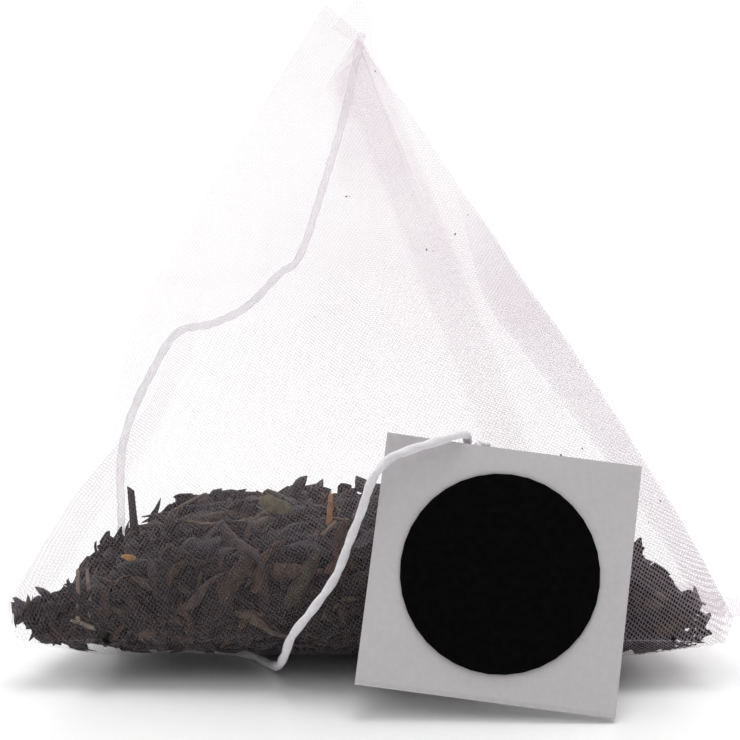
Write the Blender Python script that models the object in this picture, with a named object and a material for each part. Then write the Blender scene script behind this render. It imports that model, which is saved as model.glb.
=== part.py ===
"""Pyramid tea bag: a woven film pyramid with loose leaf tea, a string and a folded card tag.

Metres, +Z up, front to -Y, origin on the surface under the middle of the bag.

The bag is one flat tube of film. It is sealed across one end and, turned a quarter, across the
other, which makes a pyramid of four equal faces. A point of the film is written by its place on the
flat tube: u runs once round it from 0 to 1, and v along it from seal to seal.
"""
import math
import random

import bmesh
import bpy
from mathutils import Matrix, Vector, noise
from mathutils.bvhtree import BVHTree

MM = 0.001

# Film bag
TUBE_WIDTH = 65.0 * MM
FILM = 0.3 * MM
SEAL_WIDTH = 4.0 * MM
LIFT_LEFT = 7.5 * MM
LIFT_RIGHT = 6.0 * MM
LIFT_BACK = 2.5 * MM
APEX_LEAN = -2.6 * MM
APEX_SLUMP = 1.4 * MM
FRONT_SWELL = 6.5 * MM
SIDE_SWELL = 3.0 * MM
UNDER_SWELL = 7.0 * MM
UNDER_ROUND = 5.0 * MM
UNDER_ROUND_FROM = 4.0 * MM
REST_FROM = 8.0 * MM
REST_FULL = 12.5 * MM
SWELL_RISE = 0.12
PLEAT_DEPTH = 0.9 * MM
PLEAT_OFFSET = 4.2 * MM
SEAL_PINCH = 1.8 * MM
SEAL_PINCH_AT = 0.68
SEAL_PINCH_LENGTH = 0.1
PINCH_REACH = 0.15
FOLD_HEIGHT = 3.1 * MM
FOLD_BULGE = 2.0 * MM
FOLD_BLUNTNESS = 0.15
FOLD_REACH = 0.25
FOLD_SAG_LEFT = 3.3 * MM
FOLD_SAG_RIGHT = 2.2 * MM
FIN_TURN = math.radians(50)
FIN_TURN_FROM = 0.62
FIN_TURN_TO = 0.76
FIN_RISE = 0.12
GAP_SHARE = 0.5
FILM_ROWS = 14
FIN_ROWS = 2

# Tea
TEA_DEPTH = 13.4 * MM
TEA_CREST_RIGHT = 2.0 * MM
TEA_CREST_BACK = 8.0 * MM
TEA_FALL_LEFT = 8.0 * MM
TEA_FALL_RIGHT = 14.5 * MM
TEA_FALL_BACK = 38.0 * MM
TEA_BUMP = 1.1 * MM
TEA_GRAIN = 5.0 * MM
TEA_PATCH = 2.3 * MM
LEAF_COLUMNS = (1, 3, 4, 4, 4, 3, 1)
LEAF_STRAY = 0.35 * MM
LEAF_LENGTH = 6.4 * MM
LEAF_WIDTH = 1.7 * MM
LEAF_THICKNESS = 0.9 * MM
STEM_LENGTH = 6.8 * MM
STEM_WIDTH = 0.6 * MM
TWIG_LENGTH = 4.0 * MM
TWIG_WIDTH = 1.1 * MM
TWIG_SITE = (0, 0)
TWIG_OUTWARD = 1.2 * MM
BUD_SITE = (2, 1)
STEM_SHARE = 0.2
BUD_LENGTH = 3.4 * MM
BUD_WIDTH = 1.9 * MM

# Tag
TAG_WIDTH = 22.4 * MM
TAG_HEIGHT = 21.7 * MM
TAG_PLY = 0.25 * MM
TAG_POCKET = 0.35 * MM
TAG_MOUTH = 1.9 * MM
TAG_MOUTH_REACH = 4.0 * MM
TAG_TURN = math.radians(-7.5)
TAG_LEAN_MOST = 40
TAG_CURL = 0.7 * MM
TAG_INSET = 11.6 * MM
TAG_AHEAD = 8.8 * MM
PRINT_DIAMETER = 17.3 * MM
PRINT_THICKNESS = 0.1 * MM
PRINT_GAP = 0.12 * MM

# String
STRING_DIAMETER = 0.8 * MM
STRING_ROOM = 1.3 * MM
KNOT_LENGTH = 1.7 * MM
KNOT_WIDTH = 1.3 * MM
ROUTE = (
    (-2.4, -2.8, 56.3), (-2.9, -1.5, 53.9), (-4.3, 0.8, 47.7), (-6.4, 2.2, 40.7), (-8.8, 2.9, 33.7),
    (-10.8, 0.9, 32.2), (-13.9, -2.5, 29.5), (-16.9, -7.4, 28.8), (-19.8, -13.5, 29.1),
    (-22.1, -15.9, 25.6), (-23.7, -16.8, 22.3), (-24.8, -16.4, 18.8), (-25.4, -14.5, 14.8),
    (-25.7, -12.6, 10.7), (-26.1, -11.6, 7.2), (-26.4, -11.4, 4.6), (-26.6, -12.1, 2.4),
    (-26.5, -13.6, 0.9), (-26.4, -15.8, 0.45), (-25.7, -18.3, 0.45), (-23.0, -20.5, 0.45),
    (-19.0, -20.8, 0.45), (-14.8, -21.5, 0.45), (-12.4, -22.6, 0.45), (-10.9, -24.5, 0.5),
    (-9.9, -26.9, 1.3), (-9.2, -29.4, 3.2), (-8.4, -30.5, 5.6), (-6.6, -30.7, 8.1),
    (-4.6, -30.4, 11.0), (-3.3, -30.0, 14.3), (-2.4, -29.8, 16.6), (-1.4, -29.8, 19.6),
    (0.0, -29.3, 21.3), (1.5, -28.8, 21.9), (3.4, -28.3, 22.4), (5.2, -28.0, 22.9),
    (6.3, -27.4, 23.1), (6.9, -26.5, 22.7), (7.0, -26.0, 22.0),
)
MOUTH_LEFT = 2.8 * MM

# Clearance between pieces that touch
CLEAR = 0.3 * MM

# Places that follow from these
TEA_CREST = Vector((TEA_CREST_RIGHT, TEA_CREST_BACK, TEA_DEPTH))
TAG_CORNER = Vector((TUBE_WIDTH / 2 - TAG_INSET, -TAG_AHEAD))
MOUTH = Vector((-MOUTH_LEFT, TAG_HEIGHT / 2))

EDGE_HEIGHT = TUBE_WIDTH * math.sqrt(3) / 2
AROUND = 4 * FILM_ROWS


def corner_points():
    """The four corners of the bag: left, right and back below, top above them."""
    left = Vector((-TUBE_WIDTH / 2, 0, LIFT_LEFT))
    right = Vector((TUBE_WIDTH / 2, 0, LIFT_RIGHT))
    back = Vector((0, EDGE_HEIGHT, LIFT_BACK))
    up = (right - left).cross(back - left).normalized()
    middle = (left + right + back) / 3
    top = middle + up * (TUBE_WIDTH * math.sqrt(2 / 3) - APEX_SLUMP)
    top.x += APEX_LEAN
    return {"T": top, "L": left, "R": right, "B": back}


CORNERS = corner_points()
HEART = (CORNERS["L"] + CORNERS["R"] + CORNERS["B"] + CORNERS["T"]) / 4
HEART_DEPTH = TUBE_WIDTH * 0.25

# How far the middle of each edge stands off a straight line, and how much that leans to one end
BOWS = {
    "TR": (Vector((0.8, 0, 0.3)) * MM, 1.2),
    "TB": (Vector((0, 0.5, 0)) * MM, 0.0),
    "LB": (Vector((-0.5 * MM, 0.5 * MM, -FOLD_SAG_LEFT)), 0.0),
    "RB": (Vector((0.5 * MM, 0.5 * MM, -FOLD_SAG_RIGHT)), 0.0),
}


def face_normal(a, b, c):
    """The outward normal of the flat face between three corners."""
    normal = (CORNERS[b] - CORNERS[a]).cross(CORNERS[c] - CORNERS[a]).normalized()
    return normal if normal.dot(CORNERS[a] - HEART) > 0 else -normal


NORMALS = {face: face_normal(*face) for face in ("TLR", "TLB", "TRB", "LRB")}


def weights(u, v):
    """How much of each corner makes up a point of the flat tube; one of the four is always 0."""
    u %= 1
    if v / 4 <= u <= 0.5 - v / 4:
        left = (u - v / 4) * 2
        return {"T": 1 - v - left, "L": left, "R": v, "B": 0.0}
    if 0.5 + v / 4 <= u <= 1 - v / 4:
        top = (u - 0.5 - v / 4) * 2
        return {"T": top, "L": 1 - v - top, "R": 0.0, "B": v}
    if 0.25 < u < 0.75:
        back = (v + 4 * (u - 0.5)) / 2
        return {"T": 0.0, "L": 1 - v, "R": v - back, "B": back}
    from_top = u if u < 0.5 else u - 1
    right = (v + 4 * from_top) / 2
    return {"T": 1 - v, "L": 0.0, "R": right, "B": v - right}


def side_swell(top, a, b):
    """Share of the swell on a face that stands on the edge a-b: full near its foot, none at its folds."""
    foot = a + b
    if foot < 1e-9:
        return 0.0
    across = max(4 * a * b / foot**2, 0.0)
    return (1 - math.exp(-top / SWELL_RISE)) * foot**1.3 * across**0.9


def ramp(low, high, x):
    """0 below low, 1 above high, smooth between."""
    t = min(max((x - low) / (high - low), 0.0), 1.0)
    return t * t * (3 - 2 * t)


def lowest(y):
    """Least height of the underside: on the surface, at its front over the string and rounded up."""
    rounded = max(UNDER_ROUND_FROM - y, 0.0) ** 2 / (2 * UNDER_ROUND)
    return STRING_ROOM * (1 - ramp(REST_FROM, REST_FULL, y)) + rounded


def film(u, v):
    """A point of the filled bag's outer face, from its place on the flat tube."""
    w = weights(u, v)
    point = sum((CORNERS[name] * share for name, share in w.items()), Vector())
    for (a, b), (bow, lean) in BOWS.items():
        point += bow * (4 * w[a] * w[b] * (1 + lean * (w[b] - w[a])))
    span = 4 * w["L"] * w["R"]
    if span > 0:
        blunt = span**FOLD_BLUNTNESS * math.exp(-max(w["T"], w["B"]) / FOLD_REACH / math.sqrt(span))
        lift = (LIFT_LEFT * w["L"] + LIFT_RIGHT * w["R"]) / (w["L"] + w["R"])
        point += Vector((0, -FOLD_BULGE, FOLD_HEIGHT - lift)) * blunt
    pinch = math.exp(-(((w["L"] - SEAL_PINCH_AT) / SEAL_PINCH_LENGTH) ** 2))
    pinch *= math.exp(-max(w["R"], w["B"]) / PINCH_REACH)
    point.x += SEAL_PINCH * pinch
    if w["B"] == 0:
        from_fold = w["L"] * EDGE_HEIGHT
        offset = PLEAT_OFFSET * (1.6 - 1.3 * w["R"])
        pleat = max(1 - abs(from_fold - offset) / offset, 0.0) * 4 * w["T"] * w["R"]
        swell = FRONT_SWELL * side_swell(w["T"], w["L"], w["R"]) - PLEAT_DEPTH * pleat
        point += NORMALS["TLR"] * swell
    elif w["R"] == 0:
        point += NORMALS["TLB"] * SIDE_SWELL * side_swell(w["T"], w["L"], w["B"])
    elif w["L"] == 0:
        point += NORMALS["TRB"] * SIDE_SWELL * side_swell(w["T"], w["R"], w["B"])
    else:
        point += NORMALS["LRB"] * UNDER_SWELL * max(27 * w["L"] * w["R"] * w["B"], 0.0) ** 0.6
    point.z = max(point.z, lowest(point.y))
    return point


def shrunk(point, depth):
    """A point of the film moved inward, so that every face moves in by about depth."""
    return HEART + (point - HEART) * (1 - depth / HEART_DEPTH)


def top_fin_direction(share):
    """Way that the standing seal's fin points, from the top (0) to the left corner (1)."""
    edge = (CORNERS["T"] - CORNERS["L"]).normalized()
    outward = (NORMALS["TLR"] + NORMALS["TLB"]).normalized()
    turn = FIN_TURN * ramp(FIN_TURN_FROM, FIN_TURN_TO, share)
    return Matrix.Rotation(turn, 3, edge) @ outward, edge


def back_fin_direction(share):
    """Way that the lying seal's fin points, from the right corner (0) to the back corner (1)."""
    edge = (CORNERS["B"] - CORNERS["R"]).normalized()
    outward = Vector((edge.y, -edge.x, FIN_RISE)).normalized()
    return outward, edge


def fin_row(end, reach):
    """One ring of points round a seal fin, reach away from its seal line; end is 0 or 1."""
    ring = []
    start = 0 if end == 0 else AROUND // 4
    for i in range(AROUND):
        step = (i - start) % AROUND
        near = step <= AROUND // 2
        share = (step if near else AROUND - step) / (AROUND / 2)
        direction, edge = top_fin_direction(share) if end == 0 else back_fin_direction(share)
        facing = NORMALS["TLR"] if end == 0 else NORMALS["LRB"]
        across = edge.cross(direction)
        across *= math.copysign(1, across.dot(facing))
        side = 0 if share in (0, 1) else (1 if near else -1)
        ring.append(film(i / AROUND, end) + direction * reach + across * FILM * side)
    return ring


def has_gap(i, j):
    """True for the cells of the film that hold one of the weave's gaps, clear of folds and seals."""
    if i % 3 != 1 or j % 3 != 1:
        return False
    u, v = (i + 0.5) / AROUND, (j + 0.5) / FILM_ROWS
    folds = (v / 4, 0.5 - v / 4, 0.5 + v / 4, 1 - v / 4)
    return min(abs(u - fold) for fold in folds) > 1.4 / AROUND


def split(a, b, c, d, i):
    """The two triangles of a cell, cut along the fold that runs through it or lies nearest."""
    if (4 * i // AROUND) % 2 == 0:
        return [(a, b, c), (a, c, d)]
    return [(a, b, d), (b, c, d)]


def skin(mesh, rows, flip):
    """Adds the cells between rings of vertices; the cells with a gap get a hole. Returns the holes."""
    holes = []
    for j, (lower, upper) in enumerate(zip(rows, rows[1:])):
        for i in range(AROUND):
            ahead = (i + 1) % AROUND
            cell = [lower[i], lower[ahead], upper[ahead], upper[i]]
            if flip is not None and has_gap(i, j):
                middle = sum((vertex.co for vertex in cell), Vector()) / 4
                hole = [mesh.verts.new(middle.lerp(vertex.co, GAP_SHARE)) for vertex in cell]
                holes.append(hole)
                for k in range(4):
                    face = [cell[k], cell[k - 3], hole[k - 3], hole[k]]
                    add_face(mesh, face[:3], flip)
                    add_face(mesh, [face[0], face[2], face[3]], flip)
                continue
            for triangle in split(*cell, i):
                add_face(mesh, triangle, bool(flip))
    return holes


def add_face(mesh, corners, flip):
    """Adds one face, unless two of its corners are the same vertex."""
    if len(set(corners)) == len(corners):
        mesh.faces.new(corners[::-1] if flip else corners)


def welded_rows(mesh, depth):
    """Rings of vertices of the film moved in by depth, closed along both seal lines."""
    rows = []
    for j in range(FILM_ROWS + 1):
        ring = []
        start = 0 if j == 0 else AROUND // 4
        for i in range(AROUND):
            partner = (2 * start - i) % AROUND
            if j in (0, FILM_ROWS) and partner < i:
                ring.append(ring[partner])
            else:
                ring.append(mesh.verts.new(shrunk(film(i / AROUND, j / FILM_ROWS), depth)))
        rows.append(ring)
    return rows


def cap_fin(mesh, ring, start, flip):
    """Closes the free edge of a seal fin."""
    half = AROUND // 2
    for k in range(half):
        a, b = ring[(start + k) % AROUND], ring[(start + k + 1) % AROUND]
        c, d = ring[(start - k - 1) % AROUND], ring[(start - k) % AROUND]
        add_face(mesh, (a, b, c) if b is not c else (a, b, d), flip)
        if a is not d and b is not c:
            add_face(mesh, (a, c, d), flip)


def film_mesh():
    """The bag's film as one body: outer face with both fins, inner face, and the gaps between them."""
    mesh = bmesh.new()
    reaches = [SEAL_WIDTH * k / FIN_ROWS for k in range(FIN_ROWS + 1)]
    low = [[mesh.verts.new(p) for p in fin_row(0, reach)] for reach in reversed(reaches)]
    high = [[mesh.verts.new(p) for p in fin_row(1, reach)] for reach in reaches]
    between = [
        [mesh.verts.new(film(i / AROUND, j / FILM_ROWS)) for i in range(AROUND)]
        for j in range(1, FILM_ROWS)
    ]
    outer_holes = skin(mesh, [low[-1]] + between + [high[0]], False)
    skin(mesh, low, None)
    skin(mesh, high, None)
    cap_fin(mesh, low[0], 0, True)
    cap_fin(mesh, high[-1], AROUND // 4, False)
    inner_holes = skin(mesh, welded_rows(mesh, FILM), True)
    for outer, inner in zip(outer_holes, inner_holes):
        for k in range(4):
            add_face(mesh, (outer[k], outer[k - 3], inner[k - 3]), False)
            add_face(mesh, (outer[k], inner[k - 3], inner[k]), False)
    return mesh


def heap(x, y):
    """Height of the tea's top: a broad heap under the front of the bag, with a leafy surface."""
    side = (x - TEA_CREST.x) / (TUBE_WIDTH / 2)
    rear = (y - TEA_CREST.y) / EDGE_HEIGHT
    fall = (TEA_FALL_LEFT if side < 0 else TEA_FALL_RIGHT) * side**4 + TEA_FALL_BACK * rear**2
    return TEA_CREST.z - fall + TEA_BUMP * noise.noise(Vector((x, y, 0)) / TEA_GRAIN)


def heap_mesh():
    """A block under the heap's surface that reaches past the bag on all sides."""
    mesh = bmesh.new()
    columns = math.ceil(1.2 * TUBE_WIDTH / TEA_PATCH)
    rows = math.ceil(1.3 * EDGE_HEIGHT / TEA_PATCH)
    bmesh.ops.create_grid(mesh, x_segments=columns, y_segments=rows, size=0.5)
    for vertex in mesh.verts:
        x = vertex.co.x * columns * TEA_PATCH
        y = (vertex.co.y + 0.4) * rows * TEA_PATCH
        vertex.co = Vector((x, y, heap(x, y)))
    bmesh.ops.triangulate(mesh, faces=mesh.faces[:])
    top = mesh.faces[:]
    lower = bmesh.ops.extrude_face_region(mesh, geom=top)["geom"]
    for item in lower:
        if isinstance(item, bmesh.types.BMVert):
            item.co.z = -TUBE_WIDTH
    if mesh.calc_volume(signed=True) < 0:
        bmesh.ops.reverse_faces(mesh, faces=mesh.faces[:])
    mesh.normal_update()
    return mesh


def limit_mesh():
    """The room that the film leaves for the tea."""
    mesh = bmesh.new()
    skin(mesh, welded_rows(mesh, FILM + CLEAR), None)
    mesh.normal_update()
    return mesh


def spindle(length, width, thickness, bend, twist, sides=6, rings=5):
    """A rolled leaf along X: pointed at both ends, bent upward or down, and twisted."""
    mesh = bmesh.new()
    stations = []
    for k in range(1, rings + 1):
        t = k / (rings + 1)
        fat = math.sin(math.pi * t) ** 0.6
        turn = Matrix.Rotation(twist * t, 3, "X")
        centre = Vector(((t - 0.5) * length, 0, -bend * 4 * t * (1 - t)))
        ring = []
        for side in range(sides):
            angle = 2 * math.pi * side / sides
            spoke = Vector((0, math.cos(angle) * width / 2, math.sin(angle) * thickness / 2)) * fat
            ring.append(mesh.verts.new(centre + turn @ spoke))
        stations.append(ring)
    tips = [mesh.verts.new((-length / 2, 0, 0)), mesh.verts.new((length / 2, 0, 0))]
    for side in range(sides):
        ahead = (side + 1) % sides
        mesh.faces.new((tips[0], stations[0][ahead], stations[0][side]))
        mesh.faces.new((tips[1], stations[-1][side], stations[-1][ahead]))
        for low, high in zip(stations, stations[1:]):
            mesh.faces.new((low[side], low[ahead], high[ahead]))
            mesh.faces.new((low[side], high[ahead], high[side]))
    return mesh


def leaf_sites(room):
    """Columns of places across the heap, each column spread from front to back between the walls."""
    chance = random.Random(7)
    margin = LEAF_LENGTH / 2 + CLEAR + LEAF_STRAY
    level = TEA_CREST + Vector((0, 0, LEAF_THICKNESS + CLEAR))
    left = level.x - room.ray_cast(level, Vector((-1, 0, 0)))[3] + margin
    right = level.x + room.ray_cast(level, Vector((1, 0, 0)))[3] - margin
    for column, count in enumerate(LEAF_COLUMNS):
        x = left + (right - left) * column / (len(LEAF_COLUMNS) - 1)
        start = Vector((x, level.y, level.z))
        front = level.y - room.ray_cast(start, Vector((0, -1, 0)))[3] + margin
        back = level.y + room.ray_cast(start, Vector((0, 1, 0)))[3] - margin
        for row in range(count):
            y = front + (back - front) * (row + 0.5) / count
            stray = Vector([chance.uniform(-LEAF_STRAY, LEAF_STRAY) for _ in range(2)])
            yield (column, row), x + stray.x, y + stray.y, chance


def lay(mesh, x, y, heading, pitch, ground):
    """Lays a piece on the heap at x, y."""
    turn = Matrix.Rotation(heading, 4, "Z") @ Matrix.Rotation(-pitch, 4, "Y")
    bmesh.ops.transform(mesh, matrix=Matrix.Translation((x, y, 0)) @ turn, verts=mesh.verts)
    rise = -math.inf
    for vertex in mesh.verts:
        start = Vector((vertex.co.x, vertex.co.y, TUBE_WIDTH))
        rise = max(rise, ground.ray_cast(start, Vector((0, 0, -1)))[0].z + CLEAR - vertex.co.z)
    bmesh.ops.translate(mesh, vec=(0, 0, rise), verts=mesh.verts)


def opening(away):
    """How far the back ply stands off the string at this distance from the mouth, besides the pocket."""
    return (TAG_MOUTH - TAG_POCKET) * math.exp(-((away / TAG_MOUTH_REACH) ** 2))


def tag_lean():
    """Lean of the tag from upright: its foot stands before the bag and it rests back on the film."""
    sway = math.sin(-TAG_TURN)
    middle = TAG_CORNER.x - TAG_WIDTH / 2 + TAG_HEIGHT * sway / 2
    mouth = Vector((
        middle + MOUTH.x + TAG_HEIGHT * sway / 2, TAG_HEIGHT + (TAG_WIDTH / 2 - MOUTH.x) * sway
    ))
    lean = math.radians(TAG_LEAN_MOST)
    steps = 4 * FILM_ROWS
    for i in range(2 * steps + 1):
        for j in range(steps):
            point = film(i / steps / 4, j / steps)
            if abs(point.x - middle) > TAG_WIDTH * 0.6 or point.z > TAG_HEIGHT * 1.1:
                continue
            ahead, height = point.y - TAG_CORNER.y, point.z
            reach = math.hypot(ahead, height)
            depth = TAG_PLY + TAG_POCKET / 2 + CLEAR + opening((Vector((point.x, reach)) - mouth).length)
            lean = min(lean, math.atan2(ahead, height) - math.asin(min(depth / reach, 1)))
    return lean


class TagPlane:
    """The tag's own directions: across, up and front, and the middle of its face."""

    def __init__(self):
        lean = tag_lean()
        rise = Vector((0, math.sin(lean), math.cos(lean)))
        self.front = Vector((0, -math.cos(lean), math.sin(lean)))
        self.across = Vector((math.cos(TAG_TURN), 0, 0)) + rise * math.sin(TAG_TURN)
        self.up = rise * math.cos(TAG_TURN) - Vector((math.sin(TAG_TURN), 0, 0))
        foot = Vector((TAG_CORNER.x, TAG_CORNER.y, CLEAR + TAG_PLY * math.sin(lean)))
        self.middle = foot + self.up * TAG_HEIGHT / 2 - self.across * TAG_WIDTH / 2

    def at(self, s, t, n):
        """The point s across, t up and n out from the middle of the tag."""
        curl = TAG_CURL * (max(-s, 0) * max(t, 0) * 4 / TAG_WIDTH / TAG_HEIGHT) ** 2
        return self.middle + self.across * s + self.up * t + self.front * (n + curl)


def tag_mesh(plane):
    """One strip of card, folded in two at the tag's foot, its back ply pushed out by the string."""
    mesh = bmesh.new()
    half = TAG_HEIGHT / 2
    apart = (TAG_POCKET + TAG_PLY) / 2
    steps = 10
    heights = [half - TAG_HEIGHT * k / steps for k in range(steps)]
    path = [(t, apart) for t in heights]
    for k in range(5):
        angle = math.pi * k / 4
        path.append((-half + apart - apart * math.sin(angle), apart * math.cos(angle)))
    path += [(t, -apart) for t in reversed(heights)]
    grid = []
    for t, n in path:
        row = []
        for k in range(steps + 1):
            s = TAG_WIDTH * (k / steps - 0.5)
            pushed = opening((Vector((s, t)) - MOUTH).length) if n < 0 else 0
            row.append(mesh.verts.new(plane.at(s, t, n - pushed)))
        grid.append(row)
    for low, high in zip(grid, grid[1:]):
        for k in range(steps):
            mesh.faces.new((low[k], high[k], high[k + 1], low[k + 1]))
    return mesh


def print_mesh(plane):
    """The round print on the tag's face."""
    mesh = bmesh.new()
    rings, sides = 3, 36
    base = TAG_POCKET / 2 + TAG_PLY + PRINT_GAP
    layers = []
    for n in (base, base + PRINT_THICKNESS):
        middle = mesh.verts.new(plane.at(0, 0, n))
        layer = []
        for ring in range(1, rings + 1):
            radius = PRINT_DIAMETER / 2 * ring / rings
            turns = [2 * math.pi * k / sides for k in range(sides)]
            layer.append([
                mesh.verts.new(plane.at(radius * math.cos(a), radius * math.sin(a), n)) for a in turns
            ])
        layers.append((middle, layer))
    for (middle, layer), flip in zip(layers, (True, False)):
        for k in range(sides):
            ahead = (k + 1) % sides
            add_face(mesh, (middle, layer[0][k], layer[0][ahead]), flip)
            for low, high in zip(layer, layer[1:]):
                add_face(mesh, (low[k], high[k], high[ahead], low[ahead]), flip)
    under, over = layers[0][1][-1], layers[1][1][-1]
    for k in range(sides):
        ahead = (k + 1) % sides
        add_face(mesh, (under[k], under[ahead], over[ahead], over[k]), False)
    return mesh


def smooth_route(points, spacing):
    """Points at even spacing along a smooth curve through the route's own points."""
    route = [Vector(p) * MM for p in points]
    route = [2 * route[0] - route[1]] + route + [2 * route[-1] - route[-2]]
    fine = []
    for a, b, c, d in zip(route, route[1:], route[2:], route[3:]):
        for k in range(24):
            t = k / 24
            fine.append(
                0.5 * (2 * b + (c - a) * t + (2 * a - 5 * b + 4 * c - d) * t**2
                       + (3 * b - a - 3 * c + d) * t**3)
            )
    fine.append(route[-2])
    length = sum((q - p).length for p, q in zip(fine, fine[1:]))
    count = round(length / spacing)
    even, walked, goal = [fine[0]], 0.0, length / count
    for p, q in zip(fine, fine[1:]):
        step = (q - p).length
        while walked + step >= goal and len(even) < count:
            even.append(p.lerp(q, (goal - walked) / step))
            goal += length / count
        walked += step
    return even + [fine[-1]]


def material(name, color, roughness):
    """A plain finish with one colour."""
    finish = bpy.data.materials.new(name)
    finish.use_nodes = True
    shader = finish.node_tree.nodes["Principled BSDF"]
    shader.inputs["Base Color"].default_value = (*color, 1)
    shader.inputs["Roughness"].default_value = roughness
    return finish


def add_object(name, data, finish, shift):
    """Adds one named piece with its finish, in the part's own frame."""
    if isinstance(data, bmesh.types.BMesh):
        mesh = bpy.data.meshes.new(name)
        data.to_mesh(mesh)
        data.free()
        data = mesh
    piece = bpy.data.objects.new(name, data)
    piece.location = shift
    bpy.context.scene.collection.objects.link(piece)
    if finish:
        data.materials.append(finish)
    return piece


def string_curve():
    """The string as a round tube along its route."""
    curve = bpy.data.curves.new("string", "CURVE")
    curve.dimensions = "3D"
    curve.bevel_depth = STRING_DIAMETER / 2
    curve.bevel_resolution = 2
    curve.use_fill_caps = True
    points = smooth_route(ROUTE, 2.2 * STRING_DIAMETER)
    spline = curve.splines.new("POLY")
    spline.points.add(len(points) - 1)
    for slot, point in zip(spline.points, points):
        slot.co = (*point, 1)
    return curve


def knot_mesh(centre):
    """The knot in the string's end: a small round lump with the turns of the string across it."""
    mesh = bmesh.new()
    bmesh.ops.create_uvsphere(mesh, u_segments=14, v_segments=8, radius=0.5)
    for vertex in mesh.verts:
        spoke = vertex.co.normalized()
        turns = 1 + 0.12 * math.cos(3 * math.atan2(spoke.y, spoke.x) + 4 * spoke.z)
        vertex.co = centre + Vector(
            (spoke.x * KNOT_LENGTH, spoke.y * KNOT_WIDTH, spoke.z * KNOT_WIDTH)
        ) * turns / 2
    return mesh


def loose_pieces(ground, room):
    """The leaves, stems, bud and twig that lie on top of the heap, each with its name."""
    count = {"rolled_leaf": 0, "leaf_stem": 0}
    for site, x, y, chance in leaf_sites(room):
        heading, pitch = chance.uniform(0, math.pi), chance.uniform(-0.15, 0.15)
        kind = "leaf_stem" if chance.random() < STEM_SHARE else "rolled_leaf"
        width = LEAF_WIDTH * chance.uniform(0.75, 1.2)
        if site == TWIG_SITE:
            name, pitch, x = "upright_twig", math.radians(80), x - TWIG_OUTWARD
            mesh = spindle(TWIG_LENGTH, TWIG_WIDTH, TWIG_WIDTH, 0.1 * TWIG_LENGTH, 0.6)
        elif site == BUD_SITE:
            name, pitch = "leaf_bud", math.radians(40)
            mesh = spindle(BUD_LENGTH, BUD_WIDTH, BUD_WIDTH * 0.8, 0.1 * BUD_LENGTH, 0.6)
        else:
            count[kind] += 1
            name = f"{kind}_{count[kind]:02d}"
            if kind == "leaf_stem":
                mesh = spindle(STEM_LENGTH, STEM_WIDTH, STEM_WIDTH, 0.06 * STEM_LENGTH, 0)
            else:
                mesh = spindle(LEAF_LENGTH, width, LEAF_THICKNESS, 0.12 * LEAF_LENGTH, chance.uniform(1, 3))
        lay(mesh, x, y, heading, pitch, ground)
        yield name, mesh


def main():
    for old in list(bpy.context.scene.objects):
        bpy.data.objects.remove(old)
    bag = film_mesh()
    spots = [vertex.co for vertex in bag.verts]
    middle = [(min(p[k] for p in spots) + max(p[k] for p in spots)) / 2 for k in (0, 1)]
    shift = Vector((-middle[0], -middle[1], 0))

    woven = material("woven_film", (0.86, 0.84, 0.88), 0.45)
    leaf = material("dark_leaf", (0.035, 0.026, 0.022), 0.7)
    brown = material("brown_leaf", (0.10, 0.055, 0.03), 0.7)
    cotton = material("cotton", (0.75, 0.72, 0.74), 0.9)
    card = material("card", (0.6, 0.58, 0.6), 0.6)
    ink = material("ink", (0.012, 0.012, 0.014), 0.35)

    add_object("mesh_bag", bag, woven, shift)
    heap_block, limit = heap_mesh(), limit_mesh()
    ground, room = BVHTree.FromBMesh(heap_block), BVHTree.FromBMesh(limit)
    pieces = list(loose_pieces(ground, room))
    bed = add_object("tea_bed", heap_block, leaf, shift)
    cutter = add_object("tea_limit", limit, None, shift)
    cutter.hide_render = True
    cutter.display_type = "WIRE"
    cut = bed.modifiers.new("inside the film", "BOOLEAN")
    cut.operation = "INTERSECT"
    cut.object = cutter
    for name, mesh in pieces:
        add_object(name, mesh, brown if "stem" in name or "bud" in name else leaf, shift)

    plane = TagPlane()
    folded = add_object("tag", tag_mesh(plane), card, shift)
    thick = folded.modifiers.new("card", "SOLIDIFY")
    thick.thickness = TAG_PLY
    thick.offset = 0
    thick.use_even_offset = True
    add_object("tag_print", print_mesh(plane), ink, shift)
    add_object("string", string_curve(), cotton, Vector())
    knot = plane.at(MOUTH.x, MOUTH.y, -TAG_MOUTH / 2 + TAG_POCKET / 2)
    add_object("string_knot", knot_mesh(knot), cotton, shift)
    for piece in bpy.context.scene.objects:
        if piece.type == "MESH" and piece.name.startswith(("leaf", "rolled", "string", "upright")):
            piece.data.shade_smooth()


main()
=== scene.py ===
"""Pyramid tea bag: the dressed model of the woven bag, its leaf tea, its string and its card tag.

Metres, +Z up, front to -Y. The film is written by its place on the flat tube that the bag is made
from: u runs once round the tube from 0 to 1, v along it from seal to seal.
"""
import bisect
import math
import random

import bmesh
import bpy
from mathutils import Matrix, Vector, noise
from mathutils.bvhtree import BVHTree


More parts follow.
